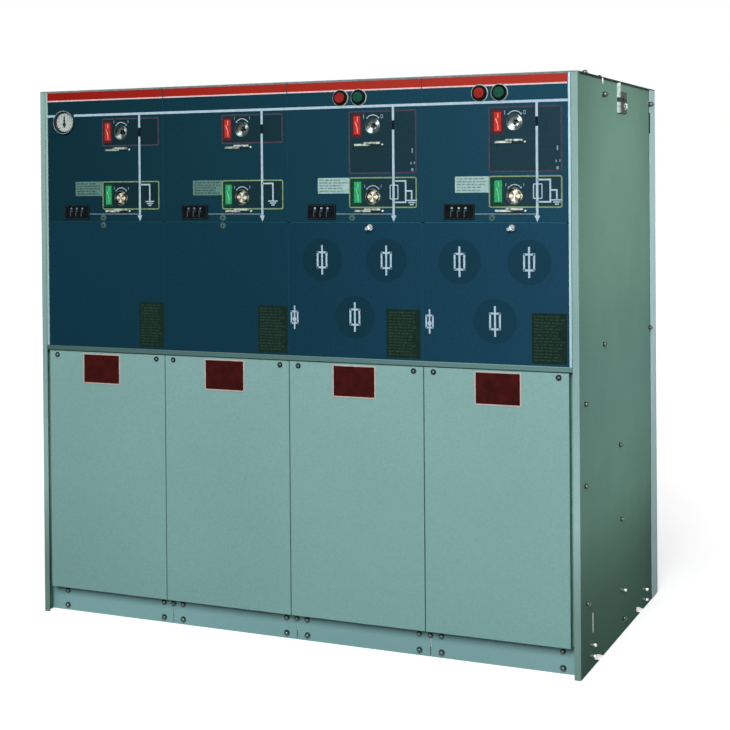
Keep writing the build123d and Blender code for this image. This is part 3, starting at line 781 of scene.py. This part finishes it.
line_corner, line_stroke = 0.004, 0.0032      # of the frame round the line switch
earth_corner, earth_stroke = 0.005, 0.0028    # of the frame round the earthing switch
line_half, gap_half = 0.0026, 0.0028
arrow_half, arrow_foot, arrow_head = 0.0062, 0.9625, 0.9765
cable_foot, cable_head = 0.9787, 0.9807       # the fine line to the voltage indicator
for number, x in zip(modules, module_x):
    fuse = number > 2
    y = panel_y
    knob, earth = middle(f"line_shaft_{number}"), middle(f"earth_shaft_{number}")
    line_x = x + (0.0955 if fuse else 0.098)
    frame_x = (x - 0.011, x + 0.150) if fuse else (x - 0.006, x + 0.1515)
    line_field = (*frame_x, 1.069, 1.209) if fuse else (*frame_x, 1.142, 1.2095)
    earth_field = (*frame_x, 0.993, 1.0615) if fuse else (*frame_x, 0.9903, 1.0583)
    gap_foot, gap_head = (1.1657, 1.1863) if fuse else (1.164, 1.1855)

    fields = bmesh.new()
    pierced_plate(fields, *line_field, y, line_corner, 0.0001, knob)
    pierced_plate(fields, *earth_field, y, earth_corner, 0.0001, earth)
    piece(f"switch_fields_{number}", fields, inner_film)
    single(f"line_switch_frame_{number}", frame_red, None,
           outline, *line_field, y, line_stroke, line_corner, 0.0003)
    single(f"earth_switch_frame_{number}", frame_green, None,
           outline, *earth_field, y, earth_stroke, earth_corner, 0.0003)

    diagram = bmesh.new()
    marks = bmesh.new()
    film_bar(diagram, line_x - line_half, line_x + line_half, gap_head, busbar_foot + 0.0003, y)
    film_bar(diagram, line_x - line_half, line_x + line_half, arrow_head - 0.003, gap_foot, y)
    arrow = [(line_x - arrow_half, arrow_head), (line_x, arrow_foot), (line_x + arrow_half, arrow_head)]
    patch(diagram, arrow, y, 0.0005)
    film_bar(marks, x - 0.043, line_x - 0.003, cable_foot, cable_head, y, 0.0002)
    if fuse:
        fuse_branch(diagram, marks, x, line_x, y)
    else:
        plain_branch(diagram, x, line_x, y)
    switch_arc(diagram, knob, y)
    switch_arc(diagram, earth, y)
    arc_marks(marks, knob, earth, fuse, y)
    piece(f"line_diagram_{number}", diagram, white_print)
    piece(f"line_diagram_marks_{number}", marks, faint_print_and_shade)
    single(f"line_gap_{number}", black_print, None,
           film_bar, line_x - gap_half, line_x + gap_half, gap_foot, gap_head, y, 0.0003)

    red_place = (x + (0.0006 if fuse else 0.0010), x + 0.0185, 1.1555, 1.1990)
    green_place = (x + 0.0005, x + 0.0195, 1.0040, 1.0525)
    if not fuse:
        green_place = (x + 0.0025, x + 0.0205, 1.0015, 1.0485)
    for name, (ground, face, stroke), (x0, x1, z0, z1) in (
        ("line_position", (red_ground, red_face, red_stroke), red_place),
        ("earth_position", (green_ground, green_face, green_stroke), green_place),
    ):
        single(f"{name}_ground_{number}", ground, None,
               rounded_plate, x0 - 0.0042, x1 + 0.0026, z0 - 0.0050, z1 + 0.0034, y, 0.002, 0.0004)
        single(f"{name}_face_{number}", face, None,
               rounded_plate, x0 + 0.001, x1 - 0.001, z0 + 0.001, z1 - 0.001, y, 0.0015, 0.0007)
        single(f"{name}_sign_{number}", stroke, None,
               contact_sign, (x0 + x1) / 2 + 0.001, (z0 + z1) / 2, y - 0.0007, (z1 - z0) * 0.42)

    # Painted shade: modules 1 and 2 take darker copies of the same white label and its print.
    label, print_tone = (label_white, label_grey) if fuse else (label_white_in_shade, label_print_in_shade)
    x0, x1 = (x - 0.087, x - 0.011) if fuse else (x - 0.0825, x - 0.0055)
    z0, z1 = (1.0257, 1.0607) if fuse else (1.0235, 1.058)
    single(f"switch_label_{number}", label, None, rounded_plate, x0, x1, z0, z1, y, 0.0008, 0.0002)
    single(f"switch_label_lines_{number}", print_tone, None,
           small_print, x0 + 0.004, x1 - 0.003, z0 + 0.002, z1 - 0.002, 5, y - 0.0002, draw)

    screws = bmesh.new()
    sockets = bmesh.new()
    for screw_z, radius in ((0.971, 0.0072),) if fuse else ((0.971, 0.0080), (0.9525, 0.0072)):
        at = on_front(x - 0.004, y, screw_z)
        domed_head(screws, radius, 0, 0.0008, 0.0014, at, 20, 4)
        disc(sockets, 0.0022, 0.0015, at, 6, 0.0008)
    piece(f"panel_screws_{number}", screws, dull_screw)
    piece(f"panel_screw_sockets_{number}", sockets, black_print)


# Operating shafts: turned steel, each with a cup in the panel where the handle grips a
# ring with a hexagon socket, or a male hexagon. The lathe leaves fine grooves round
# the shaft's own axis.
def round_shaft(tree, shaft, turn=(0, 0, 0), scale=(1, 1, 1)):
    """The object's place measured from a shaft's own axis."""
    axis = middle(shaft)
    centred = add(tree, "Mapping", {"Vector": on_object(tree), "Location": (-axis.x, 0, -axis.z)})
    placed = {"Vector": centred.outputs["Vector"], "Rotation": turn, "Scale": scale}
    return add(tree, "Mapping", placed).outputs["Vector"]


def painted_highlight_sectors(kind, light, dark):
    """Painted highlights: bright and dark sectors round a turned face, painted where the lamps light its
    grooves.
    """
    between = tint(light, 0.22)
    if kind == "line":
        return [
            (0.0, between), (0.27, dark), (0.31, dark), (0.36, light), (0.41, light), (0.46, between),
            (0.70, dark), (0.79, dark), (0.84, light), (0.90, light), (0.95, between), (1.0, between)]
    return [
        (0.0, light), (0.05, light), (0.11, dark), (0.17, dark), (0.21, light), (0.29, light),
        (0.34, between), (0.43, dark), (0.48, light), (0.55, light), (0.62, dark), (0.70, between),
        (0.74, light), (0.80, light), (0.86, dark), (0.94, between), (1.0, light)]


def turned_steel_painted_light(shaft, kind, light, dark, rim):
    """Turned steel with grooves round the shaft's axis, painted highlight sectors, and painted shade towards
    the rim of the cup.
    """
    steel, tree, shader = new_finish(f"turned_steel_painted_light_{shaft}")
    grooves = add(tree, "TexWave", {"Vector": round_shaft(tree, shaft), "Scale": 260.0, "Distortion": 0.0},
                  wave_type="RINGS", rings_direction="Y").outputs["Fac"]
    about_axis = round_shaft(tree, shaft, (math.radians(90), 0, 0))
    sectors = add(tree, "TexGradient", {"Vector": about_axis}, gradient_type="RADIAL").outputs["Fac"]
    from_axis = round_shaft(tree, shaft, (0, 0, 0), (50, 0, 50))
    from_rim = add(tree, "TexGradient", {"Vector": from_axis}, gradient_type="SPHERICAL").outputs["Fac"]
    reach = shades(tree, from_rim, [(rim[0], (0.22,) * 3), (rim[1], (1, 1, 1))])
    face = product(tree, shades(tree, sectors, painted_highlight_sectors(kind, light, dark)), reach)
    coat(tree, shader, face, spread(tree, noise(tree, 400.0), 0.22, 0.36), metallic=0.8)
    bump(tree, shader, grooves, 0.35, 0.0003)
    return steel


for number in modules:
    # Painted light: the light and dark tones of the sectors, and the span where the rim is painted into
    # shade.
    for kind, light, dark, rim in (("line", (0.50, 0.58, 0.58), (0.055, 0.075, 0.075), (0.10, 0.20)),
                                   ("earth", (0.62, 0.62, 0.50), (0.10, 0.10, 0.075), (0.24, 0.34))):
        shaft = f"{kind}_shaft_{number}"
        dress(turned_steel_painted_light(shaft, kind, light, dark, rim), shaft)


# Padlock slides: zinc-plated strips that run into a guide on the panel under each
# shaft. A short pin beside the guide takes the padlock.
slide_metal = mottled("worn_zinc", (0.075, 0.090, 0.080), (0.45, 0.52, 0.46), 110.0, (300.0, 0.25, 0.45),
                      metallic=0.4, detail=4.0, fade=(0.36, 0.56))
dress(slide_metal, "lock_bars")

slide_rows = (1.135, 0.988)
pin = [(0, 0), (0.0026, 0), (0.0026, 0.002)] + dome(0.0026, 0.0022, 0.0014, 3)
slide_pins = bmesh.new()
slide_shadows = bmesh.new()
for x in module_x:
    for z in slide_rows:
        turned(slide_pins, pin, on_front(x + 0.070, panel_y, z - 0.0015), 12)
        # Painted shadow: a black strip under each slide.
        film_bar(slide_shadows, x + 0.001, x + 0.066, z - 0.0056, z - 0.0036, panel_y, 0.0006)
piece("slide_pins", slide_pins, slide_metal)
piece("slide_shadows", slide_shadows, rubber_and_shade)


# Voltage indicators: black moulded blocks, clipped into each panel, with three test
# sockets in a row. A fine grey frame and a hook mark under each socket are printed on
# the face, and a white ring is moulded round each socket.
def ring(shape, inner, outer, thickness, place, steps, taper=0.0):
    """A flat ring, its outer edge drawn in by a taper."""
    profile = [(inner, 0), (outer, 0), (outer - taper, thickness), (inner, thickness), (inner, 0)]
    turned(shape, profile, place, steps)


moulded_black = mottled("moulded_black", (0.0025, 0.004, 0.005), (0.006, 0.009, 0.011), 120.0,
                        (250.0, 0.4, 0.55), specular=0.02)
grained(moulded_black, 1200.0, 0.2, 0.0002)
dress(moulded_black, *(f"voltage_indicator_{number}" for number in modules), "button_collars")

indicator_print = print_film("indicator_grey_print", (0.085, 0.11, 0.12), (0.045, 0.065, 0.075))
indicator_edge = print_film("indicator_frame_print", (0.040, 0.056, 0.060), (0.022, 0.034, 0.038))
socket_pitch = 0.0155
rim_inset = 0.0015
for number in modules:
    low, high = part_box(f"voltage_indicator_{number}")
    y = low.y
    centre = (low + high) / 2
    single(f"indicator_frame_{number}", indicator_edge, None, outline, low.x + rim_inset, high.x - rim_inset,
           low.z + rim_inset, high.z - rim_inset, y, 0.0008, 0.001, 0.0002)
    marks = bmesh.new()
    rings = bmesh.new()
    for socket_x in (centre.x - socket_pitch, centre.x, centre.x + socket_pitch):
        ring(rings, 0.0010, 0.0025, 0.0006, on_front(socket_x, y, centre.z + 0.008), 16, 0.0002)
        mark_x = socket_x - 0.003
        patch(marks, [(mark_x - 0.001, centre.z - 0.011), (mark_x + 0.001, centre.z - 0.011),
                      (mark_x + 0.001, centre.z + 0.003), (mark_x - 0.001, centre.z + 0.003)], y, 0.0002)
        film_bar(marks, mark_x + 0.001, mark_x + 0.006, centre.z + 0.001, centre.z + 0.003, y, 0.0002)
    piece(f"indicator_marks_{number}", marks, indicator_print)
    # Painted shade: the rings of modules 1 and 2 take the faint print in place of the white.
    piece(f"indicator_rings_{number}", rings, white_print if number > 2 else faint_print_and_shade)


# Push buttons: glossy moulded caps, red to open and green to close, in black collars
# screwed into the panel. A plain bright washer lies under each collar.
cap_gloss = (300.0, 0.3, 0.42)
cap_red = mottled("button_red", (0.21, 0.013, 0.010), (0.31, 0.020, 0.013), 150.0, cap_gloss, specular=0.06)
cap_green = mottled("button_green", (0.005, 0.054, 0.034), (0.008, 0.080, 0.048), 150.0, cap_gloss,
                    specular=0.06)
washer_zinc = print_film("pale_zinc_washer", (0.42, 0.52, 0.47), (0.22, 0.30, 0.26), 0.4, 120.0)
collar_washers = bmesh.new()
for number in (3, 4):
    for kind, cap in (("open", cap_red), ("close", cap_green)):
        button = f"{kind}_button_{number}"
        dress(cap, button)
        at = on_front(middle(button).x, panel_y, middle(button).z)
        ring(collar_washers, 0.0160, 0.0192, 0.0012, at, 40, 0.0004)
piece("collar_washers", collar_washers, washer_zinc)


# Fuse cover latches: bright plated metal, the latch a notched wing on a round neck that is
# turned a quarter to free its cover. The gauge's case is dark, and a thin bright ring on its
# front edge is a painted highlight.
plated = mottled("bright_plated", (0.16, 0.19, 0.20), (0.50, 0.55, 0.56), 160.0, (350.0, 0.16, 0.3),
                 metallic=0.7, fade=(0.35, 0.65))
gauge_metal = mottled("gauge_case_metal", (0.020, 0.034, 0.032), (0.045, 0.065, 0.062), 250.0,
                      (350.0, 0.25, 0.4), metallic=0.2, specular=0.05)
dress(plated, "cover_latch_3", "cover_latch_4")
dress(gauge_metal, "gauge_case")
# Painted highlight: a thin bright ring on the case's front edge.
single("gauge_rim_highlight", plated, "bright_metal",
       ring, 0.0271, 0.0283, 0.0004, on_front(gauge_x, gauge_low.y, gauge_z), 48, 0.0002)


# Gas pressure gauge: a printed white dial with a green and a red band and plain ticks,
# under a clear window. A black needle turns on a hub below the middle.
dial_white = print_film("dial_white", (0.66, 0.74, 0.72), (0.56, 0.64, 0.62))
band_green = print_film("dial_green_band", (0.010, 0.070, 0.040), (0.007, 0.050, 0.030))
band_red = print_film("dial_red_band", (0.13, 0.025, 0.02), (0.09, 0.016, 0.012))
dial_y = gauge_low.y + 0.007
dial_radius, dial_reach = 0.0222, 0.0258
dial_place = on_front(gauge_x, dial_y, gauge_z)
single("gauge_dial", dial_white, None, disc, dial_radius, 0.0004, dial_place, 48)
single("gauge_dial_edge", label_green, None, ring, dial_radius, dial_reach, 0.0004, dial_place, 48)
for name, radius, stroke, start, end, finish in (
    ("gauge_green_band", 0.0240, 0.0034, 30, 150, band_green),
    ("gauge_red_band", 0.0240, 0.0034, 175, 210, band_red),
    ("gauge_lower_band", 0.0228, 0.0009, 215, 325, band_green),
):
    single(name, finish, None, arc, gauge_x, gauge_z, radius, stroke, start, end, dial_y - 0.0004, 24, 0.0002)

tick_first, tick_step, tick_count = 225, 27, 11
ticks = bmesh.new()
for step in range(tick_count):
    lean = math.radians(tick_first - tick_step * step)
    part = bmesh.new()
    bar(part, 0.0172, 0.0206, -0.0006, 0, -0.0005, 0.0005)
    turn = Matrix.Translation((gauge_x, dial_y - 0.0002, gauge_z)) @ Matrix.Rotation(-lean, 4, "Y")
    bmesh.ops.transform(part, matrix=turn, verts=part.verts)
    join(ticks, part)
needle = [(-0.0023, -0.012), (0.0023, -0.012), (0.0018, 0.012), (0, 0.018), (-0.0018, 0.012)]
patch(ticks, [(gauge_x + out, gauge_z + up) for out, up in needle], dial_y - 0.0012, 0.0006)
hub = [(0, 0.0002), (0.0042, 0.0002), (0.0042, 0.002), (0.0032, 0.0026), (0, 0.0026)]
turned(ticks, hub, on_front(gauge_x, dial_y, gauge_z - 0.005), 16)
piece("gauge_needle_and_ticks", ticks, black_print)

clear, tree, shader = new_finish("clear_window")
coat(tree, shader, (0.05, 0.07, 0.07, 1), spread(tree, noise(tree, 40.0), 0.03, 0.09), specular=0.4)
shader.inputs["Alpha"].default_value = 0.08
dress(clear, "gauge_window")


# Lifting lugs: zinc-plated angles bolted flat to the end panels, with a hole in the
# leg that stands out. A hexagon bolt holds each foot.
lug_zinc, tree, shader = new_finish("lug_zinc")
lug_low, lug_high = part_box("lifting_lugs")
hole_z, hole_reach = 1.236, 0.014
# Painted light and shade: the leg's front is painted bright and the foot dark, with painted shade round the
# hole and on the ear. The noise on top is wear.
hole_shade, ear_shade = (0.07, 0.09, 0.09), (0.08, 0.11, 0.10)
lit_leg_shaded_foot = shades(tree, across(tree, "Y", lug_low.y + 0.0035, lug_low.y + 0.005),
                     [(0.0, (0.78, 0.88, 0.86)), (1.0, (0.040, 0.070, 0.058))])
shade_round_hole = shades(tree, across(tree, "Z", hole_z - hole_reach, hole_z + hole_reach),
                     [(0.26, plain), (0.36, hole_shade), (0.64, hole_shade), (0.74, plain)])
ear = shades(tree, across(tree, "X", lug_low.x, lug_high.x), [
    (0.0, ear_shade), (0.0048, ear_shade), (0.0062, plain),
    (0.9938, plain), (0.9952, ear_shade), (1.0, ear_shade)])
worn = shades(tree, noise(tree, 120.0, 4.0), [(0.3, (0.6, 0.6, 0.6)), (0.7, (1.15, 1.15, 1.15))])
lug_light_and_wear = product(tree, product(tree, lit_leg_shaded_foot, product(tree, shade_round_hole, ear)), worn)
coat(tree, shader, lug_light_and_wear, spread(tree, noise(tree, 200.0), 0.4, 0.55), specular=0.05)
dress(lug_zinc, "lifting_lugs")

foot_x = side_x + 0.004
bolt_from_front, bolt_z = 0.418, 1.223
lug_bolts = bmesh.new()
for side in (1, -1):
    at = on_side(side, foot_x, bolt_from_front, bolt_z)
    disc(lug_bolts, 0.0085, 0.0012, at)
    head = bmesh.new()
    bmesh.ops.create_cone(head, cap_ends=True, segments=6, radius1=0.0070, radius2=0.0070, depth=0.0045)
    bmesh.ops.bevel(
        head, geom=head.edges[:], offset=0.0005, segments=2, profile=0.5, affect="EDGES", material=-1
    )
    bmesh.ops.transform(head, matrix=at @ Matrix.Translation((0, 0, 0.0034)), verts=head.verts)
    join(lug_bolts, head)
piece("lug_bolts", lug_bolts, bright_nut)


# Studio: a plain white floor and surround, a large soft lamp in front, one above and
# one at the upper right. The camera stands where the photograph was taken from.
def see_white(tree, other):
    """1 for what the camera, a mirror or a window sees, and another value for plain light."""
    path = add(tree, "LightPath", {})
    total = path.outputs["Is Camera Ray"]
    for kind in ("Is Glossy Ray", "Is Transmission Ray"):
        total = add(tree, "Math", {0: total, 1: path.outputs[kind]}, operation="MAXIMUM").outputs["Value"]
    return add(tree, "MapRange", {"Value": total, "To Min": other, "To Max": 1.0}).outputs["Result"]


world = bpy.data.worlds.new("studio_surround")
bpy.context.scene.world = world
world.use_nodes = True
surround = world.node_tree.nodes["Background"]
surround.inputs["Color"].default_value = (1, 1, 1, 1)
world.node_tree.links.new(see_white(world.node_tree, 0.14), surround.inputs["Strength"])

floor_finish, tree, shader = new_finish("studio_floor")
coat(tree, shader, shades(tree, see_white(tree, 0.0), [(0.0, (0.05, 0.05, 0.05)), (1.0, (0.8, 0.8, 0.8))]),
     0.9, specular=0.0)
reach = add(tree, "VectorMath", {0: on_object(tree)}, operation="LENGTH").outputs["Value"]
fade = add(tree, "MapRange", {"Value": reach, "From Min": 1.0, "From Max": 3.5, "To Min": 0.6, "To Max": 1.0})
glow = add(tree, "Math", {0: fade.outputs["Result"], 1: see_white(tree, 0.0)}, operation="MULTIPLY")
shader.inputs["Emission Color"].default_value = (1, 1, 1, 1)
tree.links.new(glow.outputs["Value"], shader.inputs["Emission Strength"])
floor_shape = bmesh.new()
bmesh.ops.create_grid(floor_shape, x_segments=1, y_segments=1, size=40.0)
floor_mesh = bpy.data.meshes.new("studio_floor")
floor_shape.to_mesh(floor_mesh)
floor_shape.free()
floor_mesh.materials.append(floor_finish)
floor = bpy.data.objects.new("studio_floor", floor_mesh)
bpy.context.scene.collection.objects.link(floor)


def hang_lamp(name, lamp, place, target):
    """Puts a lamp at a place, turned towards a point."""
    made = bpy.data.objects.new(name, lamp)
    made.location = place
    made.rotation_euler = (Vector(target) - Vector(place)).to_track_quat("-Z", "Y").to_euler()
    bpy.context.scene.collection.objects.link(made)


def soft_lamp(name, place, target, size, power):
    """A square soft lamp."""
    lamp = bpy.data.lights.new(name, "AREA")
    lamp.shape = "SQUARE"
    lamp.size = size
    lamp.energy = power
    hang_lamp(name, lamp, place, target)


soft_lamp("front_lamp", (1.0, -4.6, 2.7), (0.2, 0.0, 0.85), 2.2, 236.0)
soft_lamp("top_lamp", (0.0, -0.5, 4.5), (0.0, 0.0, 0.0), 2.5, 40.0)
side_lamp = bpy.data.lights.new("side_lamp", "SPOT")
side_lamp.energy = 275.0
side_lamp.spot_size = math.radians(25.5)
side_lamp.spot_blend = 0.5
side_lamp.shadow_soft_size = 0.5
hang_lamp("side_lamp", side_lamp, (3.8, -0.4, 2.2), (0.67, 0.05, 0.93))

yaw, pitch, roll = (math.radians(angle) for angle in (-25.205, -0.54, -0.46))
ahead = Vector((math.sin(yaw) * math.cos(pitch), math.cos(yaw) * math.cos(pitch), math.sin(pitch)))
level = Vector((math.cos(yaw), -math.sin(yaw), 0))
upward = level.cross(ahead)
rightward = level * math.cos(roll) + upward * math.sin(roll)
above = upward * math.cos(roll) - level * math.sin(roll)
turn = Matrix((rightward, above, -ahead)).transposed()
camera_data = bpy.data.cameras.new("photo_camera")
camera_data.lens = 75.65
camera_data.sensor_width = 36.0
camera_data.shift_x = 0.107
camera_data.shift_y = -0.223
camera = bpy.data.objects.new("photo_camera", camera_data)
camera_place = (1.4854, -3.5355, 1.0395)
camera.matrix_world = Matrix.Translation(camera_place) @ turn.to_4x4()
bpy.context.scene.collection.objects.link(camera)
bpy.context.scene.camera = camera
bpy.context.scene.view_settings.view_transform = "Standard"
